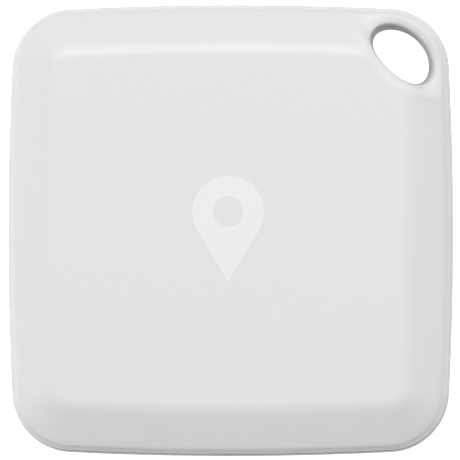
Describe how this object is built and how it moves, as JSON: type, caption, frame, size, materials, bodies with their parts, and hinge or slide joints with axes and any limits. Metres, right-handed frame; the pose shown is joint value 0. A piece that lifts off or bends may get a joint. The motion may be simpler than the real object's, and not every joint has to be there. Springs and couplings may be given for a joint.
{
  "type": "bluetooth tracker tag",
  "caption": "Flat rounded-square tracker tag with an oval key-ring eyelet in one corner, a raised flat front that clicks when pressed, and a coin cell inside.",
  "frame": {"origin": "middle of the flat back face, on the surface that the tag lies on", "axes": "+Z out of the front, +Y towards the top side, +X towards the side with the eyelet's corner; the eyelet is in the +X +Y corner"},
  "size_m": [0.038, 0.0384, 0.0078],
  "materials": {
    "shell_plastic": "fine satin texture",
    "seal_rubber": "matte",
    "foam_pad": "soft open foam",
    "board_laminate": "solder mask",
    "spring_steel": "plated",
    "cell_metal": "satin plated",
    "plate_brass": "satin",
    "piezo_ceramic": "silvered",
    "foam_tape": "matte",
    "mould_compound": "matte",
    "crystal_can": "satin",
    "antenna_ceramic": "matte",
    "ferrite": "matte",
    "tantalum_case": "matte",
    "capacitor_ceramic": "satin"
  },
  "bodies": {
    "rear_case": {"rear_shell": "shell_plastic", "circuit_board": "board_laminate", "board_screw_1": "spring_steel", "board_screw_2": "spring_steel", "board_screw_3": "spring_steel", "contact_negative": "spring_steel", "contact_positive": "spring_steel", "switch_base": "mould_compound", "switch_cover": "spring_steel", "switch_dome": "spring_steel", "piezo_spring_1": "spring_steel", "piezo_spring_2": "spring_steel", "radio_chip": "mould_compound", "driver_chip": "mould_compound", "crystal_main": "crystal_can", "crystal_slow": "crystal_can", "chip_antenna": "antenna_ceramic", "boost_inductor": "ferrite", "bulk_capacitor": "tantalum_case", "capacitor_1": "capacitor_ceramic", "capacitor_2": "capacitor_ceramic", "capacitor_3": "capacitor_ceramic", "capacitor_4": "capacitor_ceramic", "capacitor_5": "capacitor_ceramic", "capacitor_6": "capacitor_ceramic"},
    "coin_cell": {"cell_can": "cell_metal", "cell_gasket": "seal_rubber", "cell_cap": "cell_metal"},
    "seal": {"shell_seal": "seal_rubber"},
    "front_cover": {"front_shell": "shell_plastic", "piezo_plate": "plate_brass", "piezo_ceramic": "piezo_ceramic", "piezo_tape": "foam_tape", "cell_foam": "foam_pad"},
    "switch_plunger": {"switch_plunger": "mould_compound"}
  },
  "joints": [
    {"name": "case_open", "type": "slide", "parent": "rear_case", "child": "seal", "axis": [0, 0, 1], "range_m": [0, 0.02]},
    {"name": "front_press", "type": "slide", "parent": "seal", "child": "front_cover", "axis": [0, 0, -1], "range_m": [0, 0.00025], "stiffness_N_per_m": 4000, "deforming": ["piezo_spring_1", "piezo_spring_2", "switch_dome"]},
    {"name": "plunger_travel", "type": "slide", "parent": "rear_case", "child": "switch_plunger", "axis": [0, 0, -1], "range_m": [0, 0.00025]},
    {"name": "cell_lift", "type": "slide", "parent": "rear_case", "child": "coin_cell", "axis": [0, 0, 1], "range_m": [0, 0.01]}
  ],
  "couplings": [
    {"joint": "plunger_travel", "follows": "front_press", "ratio": 1},
    {"joint": "cell_lift", "follows": "case_open", "ratio": 0.4}
  ]
}
